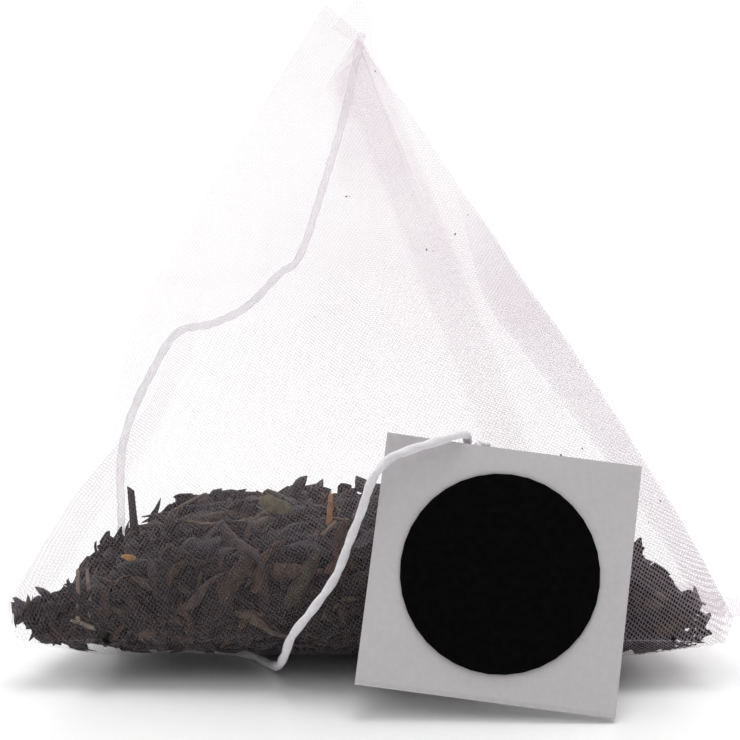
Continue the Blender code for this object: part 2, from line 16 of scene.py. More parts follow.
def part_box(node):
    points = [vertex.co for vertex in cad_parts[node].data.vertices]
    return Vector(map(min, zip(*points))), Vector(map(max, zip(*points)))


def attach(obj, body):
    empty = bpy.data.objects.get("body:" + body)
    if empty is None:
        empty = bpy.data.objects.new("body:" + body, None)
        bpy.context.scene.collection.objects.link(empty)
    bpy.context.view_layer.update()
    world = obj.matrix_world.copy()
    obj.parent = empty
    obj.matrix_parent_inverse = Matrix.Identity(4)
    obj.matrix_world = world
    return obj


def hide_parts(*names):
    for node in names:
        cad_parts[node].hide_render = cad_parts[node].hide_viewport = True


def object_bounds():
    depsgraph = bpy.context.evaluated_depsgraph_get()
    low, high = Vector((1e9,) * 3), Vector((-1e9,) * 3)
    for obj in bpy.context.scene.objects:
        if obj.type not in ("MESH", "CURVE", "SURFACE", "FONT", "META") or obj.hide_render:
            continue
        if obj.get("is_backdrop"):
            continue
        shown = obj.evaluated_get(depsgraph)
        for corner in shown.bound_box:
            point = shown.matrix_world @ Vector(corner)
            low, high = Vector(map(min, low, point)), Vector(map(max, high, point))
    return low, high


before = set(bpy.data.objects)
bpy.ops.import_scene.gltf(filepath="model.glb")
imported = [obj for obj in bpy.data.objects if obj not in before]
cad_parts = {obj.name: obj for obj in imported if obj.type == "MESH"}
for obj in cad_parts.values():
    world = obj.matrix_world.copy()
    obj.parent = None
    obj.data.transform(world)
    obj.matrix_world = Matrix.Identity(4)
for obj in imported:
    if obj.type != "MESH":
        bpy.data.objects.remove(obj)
CAD_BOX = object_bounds()
MM = 0.001
SCENE = bpy.context.scene

# Where the bag's own frame lies in the part's frame
SHIFT = Vector((-1.586, -27.358, 0)) * MM

# Film bag, as the part's source has it
TUBE_WIDTH = 65.0 * MM
SEAL_WIDTH = 4.0 * MM
LIFT_LEFT = 7.5 * MM
LIFT_RIGHT = 6.0 * MM
LIFT_BACK = 2.5 * MM
APEX_LEAN = -2.6 * MM
APEX_SLUMP = 1.4 * MM
FRONT_SWELL = 6.5 * MM
SIDE_SWELL = 3.0 * MM
UNDER_SWELL = 7.0 * MM
UNDER_ROUND = 5.0 * MM
UNDER_ROUND_FROM = 4.0 * MM
REST_FROM = 8.0 * MM
REST_FULL = 12.5 * MM
SWELL_RISE = 0.12
PLEAT_DEPTH = 0.9 * MM
PLEAT_OFFSET = 4.2 * MM
SEAL_PINCH = 1.8 * MM
SEAL_PINCH_AT = 0.68
SEAL_PINCH_LENGTH = 0.1
PINCH_REACH = 0.15
FOLD_HEIGHT = 3.1 * MM
FOLD_BULGE = 2.0 * MM
FOLD_BLUNTNESS = 0.15
FOLD_REACH = 0.25
FOLD_SAG_LEFT = 3.3 * MM
FOLD_SAG_RIGHT = 2.2 * MM
FIN_TURN = math.radians(50)
FIN_TURN_FROM = 0.62
FIN_TURN_TO = 0.76
FIN_RISE = 0.12
STRING_ROOM = 1.3 * MM
EDGE_HEIGHT = TUBE_WIDTH * math.sqrt(3) / 2
FLAT_LENGTH = EDGE_HEIGHT + 2 * SEAL_WIDTH

# Film sheet as it is drawn here
ROWS = 72
AROUND = 4 * ROWS
FIN_ROWS = 6
FIN_APART = 0.12 * MM
THREAD_PITCH = 0.27 * MM
THREAD_BUMP = 0.06 * MM
LOWEST_FILM = 0.03 * MM
LOBE_CELLS = 12

# Tea as it is drawn here: room to the film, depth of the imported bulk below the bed's face, how far
# bits sink in, lie up or are pressed in, and how many extra ones there are
TEA_CLEAR = 0.1 * MM
CORE_CLEAR = 0.5 * MM
CORE_DEPTH = 1.3 * MM
CORE_UNEVEN = 0.7 * MM
LOWEST_TEA = 0.05 * MM
LEAF_SUNK = 0.5 * MM
LAID_RISE = 0.45 * MM
LAID_SHARE = 0.7
SEEN_INWARD = 0.35 * MM
DUST_SPECKS = 26
FRONT_SHARE = 8
RAY_RISE = 2 * MM

# String
STRING_DIAMETER = 0.8 * MM
STRING_STEP = 0.22 * MM
YARN_TWIST = 2.4 * MM
YARN_SIDES = 14
FIBRES = 260
FIBRE_RADIUS = 0.009 * MM
KNOT_YARN = 0.30 * MM

# From the top down inside the bag, out under the front fold and up to the tag, in mm
ROUTE = (
    (-2.4, -2.8, 56.3), (-2.9, -1.5, 53.9), (-4.3, 0.8, 47.7), (-6.4, 2.2, 40.7), (-8.8, 2.9, 33.7),
    (-10.8, 0.9, 32.2), (-13.9, -2.5, 29.5), (-16.9, -7.4, 28.8), (-19.8, -13.5, 29.1),
    (-22.1, -15.9, 25.6), (-23.7, -16.8, 22.3), (-24.8, -16.4, 18.8), (-25.4, -14.5, 14.8),
    (-25.7, -12.6, 10.7), (-26.1, -11.6, 7.2), (-26.4, -11.4, 4.6), (-26.6, -12.1, 2.4),
    (-26.5, -13.6, 0.9), (-26.4, -15.8, 0.45), (-25.7, -18.3, 0.45), (-23.0, -20.5, 0.45),
    (-19.0, -20.8, 0.45), (-14.8, -21.5, 0.45), (-12.4, -22.6, 0.45), (-10.9, -24.5, 0.5),
    (-9.9, -26.9, 1.3), (-9.2, -29.4, 3.2), (-8.4, -30.5, 5.6), (-6.6, -30.7, 8.1),
    (-4.6, -30.4, 11.0), (-3.3, -30.0, 14.3), (-2.4, -29.8, 16.6), (-1.4, -29.8, 19.6),
    (0.0, -29.3, 21.3), (1.5, -28.8, 21.9), (3.4, -28.3, 22.4), (5.2, -28.0, 22.9),
    (6.3, -27.4, 23.1), (6.9, -26.5, 22.7), (7.0, -26.0, 22.0),
)


# Film shape


def corner_points():
    """The four corners of the bag: left, right and back below, top above them."""
    left = Vector((-TUBE_WIDTH / 2, 0, LIFT_LEFT))
    right = Vector((TUBE_WIDTH / 2, 0, LIFT_RIGHT))
    back = Vector((0, EDGE_HEIGHT, LIFT_BACK))
    up = (right - left).cross(back - left).normalized()
    middle = (left + right + back) / 3
    top = middle + up * (TUBE_WIDTH * math.sqrt(2 / 3) - APEX_SLUMP)
    top.x += APEX_LEAN
    return {"T": top, "L": left, "R": right, "B": back}


CORNERS = corner_points()
HEART = (CORNERS["L"] + CORNERS["R"] + CORNERS["B"] + CORNERS["T"]) / 4

BOWS = {
    "TR": (Vector((0.8, 0, 0.3)) * MM, 1.2),
    "TB": (Vector((0, 0.5, 0)) * MM, 0.0),
    "LB": (Vector((-0.5 * MM, 0.5 * MM, -FOLD_SAG_LEFT)), 0.0),
    "RB": (Vector((0.5 * MM, 0.5 * MM, -FOLD_SAG_RIGHT)), 0.0),
}


def face_normal(a, b, c):
    """The outward normal of the flat face between three corners."""
    normal = (CORNERS[b] - CORNERS[a]).cross(CORNERS[c] - CORNERS[a]).normalized()
    return normal if normal.dot(CORNERS[a] - HEART) > 0 else -normal


NORMALS = {face: face_normal(*face) for face in ("TLR", "TLB", "TRB", "LRB")}


def weights(u, v):
    """How much of each corner makes up a point of the flat tube; one of the four is always 0."""
    u %= 1
    if v / 4 <= u <= 0.5 - v / 4:
        left = (u - v / 4) * 2
        return {"T": 1 - v - left, "L": left, "R": v, "B": 0.0}
    if 0.5 + v / 4 <= u <= 1 - v / 4:
        top = (u - 0.5 - v / 4) * 2
        return {"T": top, "L": 1 - v - top, "R": 0.0, "B": v}
    if 0.25 < u < 0.75:
        back = (v + 4 * (u - 0.5)) / 2
        return {"T": 0.0, "L": 1 - v, "R": v - back, "B": back}
    from_top = u if u < 0.5 else u - 1
    right = (v + 4 * from_top) / 2
    return {"T": 1 - v, "L": 0.0, "R": right, "B": v - right}


def side_swell(top, a, b):
    """Share of the swell on a face that stands on the edge a-b."""
    foot = a + b
    if foot < 1e-9:
        return 0.0
    across = max(4 * a * b / foot**2, 0.0)
    return (1 - math.exp(-top / SWELL_RISE)) * foot**1.3 * across**0.9


def ramp(low, high, x):
    """0 below low, 1 above high, smooth between."""
    t = min(max((x - low) / (high - low), 0.0), 1.0)
    return t * t * (3 - 2 * t)


def lowest(y):
    """Least height of the underside: on the surface, but over the string and rounded in front."""
    rounded = max(UNDER_ROUND_FROM - y, 0.0) ** 2 / (2 * UNDER_ROUND)
    return STRING_ROOM * (1 - ramp(REST_FROM, REST_FULL, y)) + rounded


def film(u, v):
    """A point of the filled bag's film in the bag's frame, from its place on the flat tube."""
    w = weights(u, v)
    point = sum((CORNERS[name] * share for name, share in w.items()), Vector())
    for (a, b), (bow, lean) in BOWS.items():
        point += bow * (4 * w[a] * w[b] * (1 + lean * (w[b] - w[a])))
    span = 4 * w["L"] * w["R"]
    if span > 0:
        blunt = span**FOLD_BLUNTNESS * math.exp(-max(w["T"], w["B"]) / FOLD_REACH / math.sqrt(span))
        lift = (LIFT_LEFT * w["L"] + LIFT_RIGHT * w["R"]) / (w["L"] + w["R"])
        point += Vector((0, -FOLD_BULGE, FOLD_HEIGHT - lift)) * blunt
    pinch = math.exp(-(((w["L"] - SEAL_PINCH_AT) / SEAL_PINCH_LENGTH) ** 2))
    pinch *= math.exp(-max(w["R"], w["B"]) / PINCH_REACH)
    point.x += SEAL_PINCH * pinch
    if w["B"] == 0:
        from_fold = w["L"] * EDGE_HEIGHT
        offset = PLEAT_OFFSET * (1.6 - 1.3 * w["R"])
        pleat = max(1 - abs(from_fold - offset) / offset, 0.0) * 4 * w["T"] * w["R"]
        swell = FRONT_SWELL * side_swell(w["T"], w["L"], w["R"]) - PLEAT_DEPTH * pleat
        point += NORMALS["TLR"] * swell
    elif w["R"] == 0:
        point += NORMALS["TLB"] * SIDE_SWELL * side_swell(w["T"], w["L"], w["B"])
    elif w["L"] == 0:
        point += NORMALS["TRB"] * SIDE_SWELL * side_swell(w["T"], w["R"], w["B"])
    else:
        point += NORMALS["LRB"] * UNDER_SWELL * max(27 * w["L"] * w["R"] * w["B"], 0.0) ** 0.6
    point.z = max(point.z, lowest(point.y))
    return point


def cloth(u, v, inward=0.0):
    """A point of the rippled film in the part's frame, moved inward for a second layer."""
    point = film(u, v)
    w = weights(u, v)
    free = ramp(0.0, 0.1, 1 - max(w.values())) * ramp(0.0, 3 * MM, point.z)
    ripple = noise.noise(Vector((point.x * 0.9, point.y, point.z * 0.5)) * 260)
    ripple += 0.5 * noise.noise(Vector((point.x, point.y * 0.7, point.z)) * 620 + Vector((5, 0, 0)))
    out = (point - HEART).normalized()
    point = point + SHIFT + out * (0.16 * MM * free * ripple - inward)
    point.z = max(point.z, LOWEST_FILM)
    return point


# Objects and materials


def new_object(name, mesh, finish):
    """Adds a smooth mesh object of one material to the scene. mesh is a bmesh or mesh data."""
    if isinstance(mesh, bmesh.types.BMesh):
        data = bpy.data.meshes.new(name)
        mesh.to_mesh(data)
        mesh.free()
        mesh = data
    piece = bpy.data.objects.new(name, mesh)
    SCENE.collection.objects.link(piece)
    mesh.materials.append(finish)
    mesh.shade_smooth()
    return piece


class Nodes:
    """Short calls for building a material's node tree."""

    def __init__(self, name):
        self.material = bpy.data.materials.new(name)
        self.material.use_nodes = True
        self.tree = self.material.node_tree
        self.tree.nodes.clear()
        self.out = self.tree.nodes.new("ShaderNodeOutputMaterial")

    def add(self, kind, values=(), **settings):
        """A node with its settings, and its sockets' values or links by name or number."""
        node = self.tree.nodes.new("ShaderNode" + kind)
        for key, value in settings.items():
            setattr(node, key, value)
        for key, value in dict(values).items():
            self.feed(node.inputs[key], value)
        return node

    def feed(self, socket, value):
        """Sets a socket's value, or links it to another node's output."""
        if isinstance(value, bpy.types.Node):
            value = next(output for output in value.outputs if output.enabled)
        if isinstance(value, bpy.types.NodeSocket):
            self.tree.links.new(value, socket)
        else:
            socket.default_value = value

    def math(self, operation, *values):
        """A Math node's output."""
        return self.add("Math", enumerate(values), operation=operation).outputs[0]

    def span(self, value, low, high, to_low=0.0, to_high=1.0, smooth=False):
        """A value carried from one range to another."""
        kind = "SMOOTHSTEP" if smooth else "LINEAR"
        sockets = {0: value, 1: low, 2: high, 3: to_low, 4: to_high}
        return self.add("MapRange", sockets, interpolation_type=kind).outputs[0]

    def noise(self, place, scale, detail=2.0, roughness=0.5):
        """A noise texture's value."""
        sockets = {"Vector": place, "Scale": scale, "Detail": detail, "Roughness": roughness}
        return self.add("TexNoise", sockets).outputs[0]

    def blend(self, factor, a, b):
        """A colour mixed from two."""
        node = self.add("Mix", data_type="RGBA")
        sockets = [s for s in node.inputs if s.enabled]
        for socket, value in zip(sockets, (factor, a, b)):
            self.feed(socket, value)
        return next(output for output in node.outputs if output.enabled)

    def bump(self, height, strength, distance):
        """A bump's normal."""
        sockets = {"Height": height, "Strength": strength, "Distance": distance}
        return self.add("Bump", sockets).outputs[0]

    def done(self, shader):
        """The finished material, with its surface linked."""
        self.feed(self.out.inputs["Surface"], shader)
        return self.material


def woven_film(name, tint, thread_share, solid):
    """Square weave of see-through thread. The sheet's UV holds its place on the flat tube.

    thread_share is the thread's width as a share of the pitch, solid how much light it stops.
    """
    n = Nodes(name)
    uv = n.add("UVMap").outputs[0]
    place = n.add("SeparateXYZ", {0: uv})
    around = n.math("MULTIPLY", place.outputs[0], 2 * TUBE_WIDTH / THREAD_PITCH)
    along = n.math("MULTIPLY", place.outputs[1], FLAT_LENGTH / THREAD_PITCH)
    position = n.add("TexCoord").outputs["Object"]
    stray = n.math("MULTIPLY", n.math("SUBTRACT", n.noise(position, 900.0), 0.5), 0.5)
    threads = []
    for line in (around, along):
        across = n.math("SUBTRACT", n.math("FRACT", n.math("ADD", line, stray)), 0.5)
        half = thread_share / 2
        threads.append(n.span(n.math("ABSOLUTE", across), half + 0.05, half - 0.05, smooth=True))
    cover = n.math("MAXIMUM", *threads)
    cloud = n.noise(position, 160.0)
    haze = n.add("SeparateXYZ", {0: n.add("VertexColor", layer_name="haze").outputs["Color"]})
    filled = n.span(cover, 0.0, 1.0, n.math("MULTIPLY", haze.outputs[0], 0.55), 1.0)
    share = n.math("MULTIPLY", filled, n.span(cloud, 0.3, 0.7, solid * 0.9, solid * 1.08))
    drawn = n.add("SeparateXYZ", {0: n.add("VertexColor", layer_name="drawn").outputs["Color"]})
    share = n.math("MULTIPLY", share, drawn.outputs[0])
    color = n.blend(n.noise(position, 420.0), (*tint, 1), (*[c * 0.97 for c in tint], 1))
    normal = n.bump(cover, 0.25, THREAD_BUMP)
    front = n.add("BsdfPrincipled", {
        "Base Color": color, "Roughness": 0.45, "Normal": normal, "Specular IOR Level": 0.2,
    })
    through = n.add("BsdfTranslucent", {"Color": color, "Normal": normal})
    thread = n.add("MixShader", {0: 0.5, 1: front, 2: through})
    clear = n.add("BsdfTransparent")
    return n.done(n.add("MixShader", {0: share, 1: clear, 2: thread}))


def tea_material(name):
    """Dry rolled leaf: a tint for each bit, with streaks, ridges, dull and glossy patches."""
    n = Nodes(name)
    tint = n.add("VertexColor", layer_name="tint").outputs["Color"]
    position = n.add("TexCoord").outputs["Object"]
    drawn_out = n.add("Mapping", {"Vector": position, "Scale": (1.0, 2.2, 0.7)})
    streak = n.noise(drawn_out, 1500.0, 3.0, 0.6)
    patch = n.noise(position, 520.0, 3.0)
    dark = n.blend(0.6, tint, (0.003, 0.0025, 0.0025, 1))
    pale = n.blend(0.25, tint, (0.11, 0.09, 0.08, 1))
    color = n.blend(n.span(streak, 0.3, 0.72), dark, n.blend(n.span(patch, 0.4, 0.8), tint, pale))
    rough = n.span(patch, 0.3, 0.7, 0.42, 0.8)
    normal = n.bump(streak, 0.35, 0.0002)
    return n.done(n.add("BsdfPrincipled", {
        "Base Color": color, "Roughness": rough, "Normal": normal, "Specular IOR Level": 0.16,
    }))


def cotton_material(name):
    """Twisted cotton yarn with fine fibres along it. Where its loose share is set, the yarn turns
    translucent and partly see-through: painted light that makes that part read paler.
    """
    n = Nodes(name)
    position = n.add("TexCoord").outputs["Object"]
    fibre = n.noise(position, 2600.0, 4.0, 0.7)
    shade = n.noise(position, 300.0)
    color = n.blend(n.span(fibre, 0.3, 0.7), (0.88, 0.86, 0.88, 1), (0.98, 0.965, 0.98, 1))
    color = n.blend(n.span(shade, 0.35, 0.7, 0.0, 0.3), color, (0.74, 0.71, 0.76, 1))
    normal = n.bump(fibre, 0.6, 0.0001)
    front = n.add("BsdfPrincipled", {
        "Base Color": color, "Roughness": 0.9, "Normal": normal, "Sheen Weight": 0.4,
        "Specular IOR Level": 0.2,
    })
    through = n.add("BsdfTranslucent", {"Color": color, "Normal": normal})
    # Painted light: the loose share turns the yarn translucent and up to half see-through, so that
    # part reads paler than its shading gives.
    loose = n.add("VertexColor", layer_name="loose").outputs["Color"]
    yarn = n.add("MixShader", {0: n.span(loose, 0.0, 1.0, 0.05, 0.85), 1: front, 2: through})
    clear = n.add("BsdfTransparent")
    return n.done(n.add("MixShader", {0: n.span(loose, 0.0, 1.0, 0.0, 0.5), 1: yarn, 2: clear}))


def card_material(name):
    """Uncoated pale card: faint fibre mottle and a slightly rough face."""
    n = Nodes(name)
    position = n.add("TexCoord").outputs["Object"]
    fibre = n.noise(position, 1800.0, 4.0, 0.65)
    mottle = n.noise(position, 130.0, 3.0)
    color = n.blend(n.span(fibre, 0.35, 0.65), (0.66, 0.635, 0.65, 1), (0.70, 0.675, 0.69, 1))
    color = n.blend(n.span(mottle, 0.35, 0.7, 0.0, 0.4), color, (0.62, 0.59, 0.61, 1))
    normal = n.bump(fibre, 0.12, 0.00008)
    front = n.add("BsdfPrincipled", {"Base Color": color, "Roughness": 0.62, "Normal": normal})
    through = n.add("BsdfTranslucent", {"Color": color, "Normal": normal})
    return n.done(n.add("MixShader", {0: 0.08, 1: front, 2: through}))


def ink_material(name):
    """Flat black print that takes a little of the card's tooth."""
    n = Nodes(name)
    position = n.add("TexCoord").outputs["Object"]
    tooth = n.noise(position, 1500.0, 3.0, 0.6)
    black, grey = (0.0012, 0.0012, 0.0014, 1), (0.003, 0.003, 0.0034, 1)
    color = n.blend(n.span(tooth, 0.4, 0.75), black, grey)
    normal = n.bump(tooth, 0.08, 0.00005)
    rough = n.span(tooth, 0.3, 0.7, 0.5, 0.62)
    return n.done(n.add("BsdfPrincipled", {
        "Base Color": color, "Roughness": rough, "Normal": normal, "Specular IOR Level": 0.04,
    }))


FILM_FINISH = woven_film("woven film", (0.82, 0.71, 0.77), thread_share=0.36, solid=0.3)
FOLD_FINISH = woven_film("woven film doubled", (0.82, 0.71, 0.78), thread_share=0.42, solid=0.2)
TEA_FINISH = tea_material("leaf tea")
COTTON_FINISH = cotton_material("cotton yarn")
CARD_FINISH = card_material("tag card")
INK_FINISH = ink_material("black print")


# Film sheet


def weave_shares(mesh, shares):
    """Stores at each vertex how solid the weave is, and how far its holes are filled."""
    drawn = mesh.verts.layers.float_color.new("drawn")
    haze = mesh.verts.layers.float_color.new("haze")
    for number, vertex in enumerate(mesh.verts):
        share, fill = shares(number, vertex.co), ramp(26 * MM, 34 * MM, vertex.co.z)
        vertex[drawn] = (share, share, share, 1)
        vertex[haze] = (fill, fill, fill, 1)
    return mesh


def sheet_share_with_painted_light(_, place):
    """The weave is drawn least solid at its upper left and most solid over the tea at its right; the
    extra at the right is painted light, for the brighter light on the threads there.
    """
    x, z = place.x, place.z
    share = 0.6 - 0.12 * ramp(26 * MM, 34 * MM, z)
    # Painted highlight: the weave is made more solid over the tea at the right and low by the right
    # corner, where the threads catch more light.
    share += 0.5 * ramp(-22 * MM, 4 * MM, x) * ramp(8 * MM, 26 * MM, z)
    share *= 1 - 0.4 * ramp(34 * MM, 48 * MM, z)
    return share + 0.55 * ramp(8 * MM, 22 * MM, x) * (1 - ramp(8 * MM, 22 * MM, z))


def split(a, b, c, d, i):
    """The two triangles of a cell, cut along the fold that runs through it or lies nearest."""
    if (4 * i // AROUND) % 2 == 0:
        return [(a, b, c), (a, c, d)]
    return [(a, b, d), (b, c, d)]


def fin_point(end, i, reach):
    """A point of a seal fin, reach away from its seal line, on column i's side of it."""
    start = 0 if end == 0 else AROUND // 4
    step = (i - start) % AROUND
    near = step <= AROUND // 2
    share = (step if near else AROUND - step) / (AROUND / 2)
    if end == 0:
        edge = (CORNERS["T"] - CORNERS["L"]).normalized()
        outward = (NORMALS["TLR"] + NORMALS["TLB"]).normalized()
        turn = FIN_TURN * ramp(FIN_TURN_FROM, FIN_TURN_TO, share)
        direction, facing = Matrix.Rotation(turn, 3, edge) @ outward, NORMALS["TLR"]
    else:
        edge = (CORNERS["B"] - CORNERS["R"]).normalized()
        direction, facing = Vector((edge.y, -edge.x, FIN_RISE)).normalized(), NORMALS["LRB"]
    across = edge.cross(direction)
    across *= math.copysign(1, across.dot(facing))
    side = 0 if share in (0, 1) else (1 if near else -1)
    wave = math.sin(share * 61) + 0.6 * math.sin(share * 143 + 1)
    sway = 0.12 * MM * wave * ramp(0, SEAL_WIDTH, reach) * math.sin(math.pi * share)
    return cloth(i / AROUND, end) + direction * reach + across * (FIN_APART / 2 * side + sway)


def film_sheet():
    """The whole film as one sheet: the bag and both double seal fins, with UVs of the flat tube."""
    mesh = bmesh.new()
    uv = mesh.loops.layers.uv.new("UVMap")
    rows, heights = [], []
    reaches = [SEAL_WIDTH * k / FIN_ROWS for k in range(1, FIN_ROWS + 1)]
    for reach in reversed(reaches):
        rows.append([mesh.verts.new(fin_point(0, i, reach)) for i in range(AROUND)])
        heights.append(SEAL_WIDTH - reach)
    for j in range(ROWS + 1):
        rows.append([mesh.verts.new(cloth(i / AROUND, j / ROWS)) for i in range(AROUND)])
        heights.append(SEAL_WIDTH + EDGE_HEIGHT * j / ROWS)
    for reach in reaches:
        rows.append([mesh.verts.new(fin_point(1, i, reach)) for i in range(AROUND)])
        heights.append(SEAL_WIDTH + EDGE_HEIGHT + reach)
    for low, high, low_at, high_at in zip(rows, rows[1:], heights, heights[1:]):
        for i in range(AROUND):
            ahead = (i + 1) % AROUND
            place = {
                low[i]: (i / AROUND, low_at / FLAT_LENGTH),
                low[ahead]: ((i + 1) / AROUND, low_at / FLAT_LENGTH),
                high[ahead]: ((i + 1) / AROUND, high_at / FLAT_LENGTH),
                high[i]: (i / AROUND, high_at / FLAT_LENGTH),
            }
            for triangle in split(low[i], low[ahead], high[ahead], high[i], i):
                face = mesh.faces.new(triangle)
                for loop in face.loops:
                    loop[uv].uv = place[loop.vert]
    return weave_shares(mesh, sheet_share_with_painted_light)


def patch(places, columns, rows, inward, soft):
    """A second layer of film: places gives its (u, v) for two shares from 0 to 1.

    soft holds how far the layer thins out from its four sides: near, far, first and last.
    """
    mesh = bmesh.new()
    uv = mesh.loops.layers.uv.new("UVMap")
    grid, spots, thin = [], {}, []
    for j in range(rows + 1):
        row = []
        for i in range(columns + 1):
            u, v = places(i / columns, j / rows)
            vertex = mesh.verts.new(cloth(u, v, inward))
            shares = (i / columns, 1 - i / columns, j / rows, 1 - j / rows)
            thin.append(math.prod(ramp(0, reach, at) for reach, at in zip(soft, shares) if reach))
            spots[vertex] = (u % 1 if u >= 0 else u, (SEAL_WIDTH + EDGE_HEIGHT * v) / FLAT_LENGTH)
            row.append(vertex)
        grid.append(row)
    for low, high in zip(grid, grid[1:]):
        for i in range(columns):
            face = mesh.faces.new((low[i], low[i + 1], high[i + 1], high[i]))
            for loop in face.loops:
                loop[uv].uv = spots[loop.vert]
    return weave_shares(mesh, lambda number, _: thin[number])


sheet = new_object("film_sheet", film_sheet(), FILM_FINISH)
room = BVHTree.FromObject(sheet, bpy.context.evaluated_depsgraph_get())


def film_at(left, right):
    """Place on the flat tube of a point of the front face, from its shares of two corners."""
    return left / 2 + right / 4, right


def pleat_place(across, down):
    """The strip beside the fold from the top to the right corner, where the film lies doubled."""
    right = 0.26 + 0.72 * down
    wide = (6.8 - 5.6 * right) * MM / EDGE_HEIGHT * ramp(0.24, 0.44, right)
    return film_at(max(wide, 0.004) * across, right)


def band_place(across, down):
    """The turned-in allowance beside the lower part of the seal from the top to the left corner."""
    left = 0.42 + 0.575 * down
    wide = 0.045 * ramp(0.42, 0.6, left) * (1.15 - ramp(0.9, 1.0, left))
    return film_at(left - wide * across, wide * across)


def lining_place(across, down):
    """The gathered film in the top of the bag, wider toward its lower end."""
    near = (0.075 + 0.16 * down, 0.01 + 0.1 * down)
    far = (0.008 + 0.08 * down, 0.03 + 0.25 * down)
    return film_at(*(a + (b - a) * across for a, b in zip(near, far)))


def top_fold_place(across, down):
    """The doubled edge that runs down from the top beside the gathered film."""
    left, right = 0.006 + 0.06 * down, 0.02 + 0.235 * down
    return film_at(left + (0.004 + 0.008 * down) * across, right)


def lap_place(across, down):
    """The lap of the tube's long seam, from the top down the back."""
    return -0.052 + 0.082 * across, 0.012 + 0.97 * down


layers = [
    new_object(name, patch(place, columns, rows, inward * MM, soft), finish)
    for name, place, columns, rows, inward, soft, finish in (
        ("film_pleat", pleat_place, 12, 60, 0.12, (0, 0, 0.2, 0), FOLD_FINISH),
        ("film_pleat_under", pleat_place, 12, 60, 0.3, (0, 0.3, 0.3, 0), FOLD_FINISH),
        ("film_seal_band", band_place, 10, 60, 0.15, (0, 0.3, 0.5, 0), FOLD_FINISH),
        ("film_top_lining", lining_place, 20, 30, 0.15, (0.3, 0, 0, 0.5), FILM_FINISH),
        ("film_top_fold", top_fold_place, 4, 30, 0.2, (0, 0, 0, 0.4), FOLD_FINISH),
        ("film_lap_seam", lap_place, 16, 90, 0.15, (0.2, 0.2, 0, 0), FILM_FINISH),
    )
]


def top_lobe():
    """The free end of the seal that stands up beside the string, above the bag's top corner."""
    mesh = bmesh.new()
    uv = mesh.loops.layers.uv.new("UVMap")
    top = CORNERS["T"] + SHIFT
    grid = []
    for j in range(LOBE_CELLS + 1):
        up = j / LOBE_CELLS
        row = []
        for i in range(LOBE_CELLS + 1):
            across = i / LOBE_CELLS
            foot = Vector((-2.3 + 3.9 * across, -0.35, 0.2 - 2.6 * across)) * MM
            height = (2.6 * math.sin(math.pi * across**1.5) ** 0.8 + 2.6 * across) * MM
            curl = 0.5 * math.sin(2.2 * up + 2 * across) * MM * up
            row.append(mesh.verts.new(top + foot + Vector((0.12 * up * MM, -curl, height * up))))
        grid.append(row)
    for low, high in zip(grid, grid[1:]):
        for i in range(LOBE_CELLS):
            face = mesh.faces.new((low[i], low[i + 1], high[i + 1], high[i]))
            for loop in face.loops:
                place = loop.vert.co - top
                loop[uv].uv = (place.x / (2 * TUBE_WIDTH), place.z / FLAT_LENGTH)
    return weave_shares(mesh, lambda *_: 0.9)


layers.append(new_object("film_top_lobe", top_lobe(), FOLD_FINISH))


# Tea


def loft(rings):
    """A bmesh skin over rings of points, closed by one face at both ends."""
    mesh = bmesh.new()
    made = [[mesh.verts.new(p) for p in ring] for ring in rings]
    count = len(rings[0])
    for low, high in zip(made, made[1:]):
        for k in range(count):
            mesh.faces.new((low[k], low[(k + 1) % count], high[(k + 1) % count], high[k]))
    mesh.faces.new(made[0][::-1])
    mesh.faces.new(made[-1])
    return mesh


def rolled_bit(chance, length, width, thick):
    """Points and faces of a rolled leaf along X: ridged, twisted, bent and thin at its ends."""
    rings, sides = 7, 7
    bend = chance.uniform(-0.22, 0.22) * length
    hook = chance.uniform(-0.12, 0.12) * length
    twist = chance.uniform(-2.5, 2.5)
    lobes, phase = chance.choice((2, 3)), chance.uniform(0, 6)
    blunt = chance.uniform(0.35, 0.9)
    verts, faces = [], []
    for r in range(rings):
        t = (r + 0.15) / (rings - 0.7)
        fat = max(math.sin(math.pi * t), 0.02) ** blunt * chance.uniform(0.8, 1.12)
        centre = Vector((
            (t - 0.5) * length, hook * math.sin(2 * math.pi * t), bend * (4 * t * (1 - t) - 0.5),
        ))
        for s in range(sides):
            a = 2 * math.pi * s / sides
            ridge = 1 + 0.3 * math.cos(lobes * a + phase)
            y = math.cos(a) * width / 2 * fat * ridge
            z = math.sin(a) * thick / 2 * fat * ridge
            turn = twist * t
            verts.append(centre + Vector((
                0, y * math.cos(turn) - z * math.sin(turn), y * math.sin(turn) + z * math.cos(turn)
            )))
    for r in range(rings - 1):
        for s in range(sides):
            a, b = r * sides + s, r * sides + (s + 1) % sides
            faces.append((a, b, b + sides, a + sides))
    faces.append(tuple(range(sides))[::-1])
    faces.append(tuple(range((rings - 1) * sides, rings * sides)))
    return verts, faces


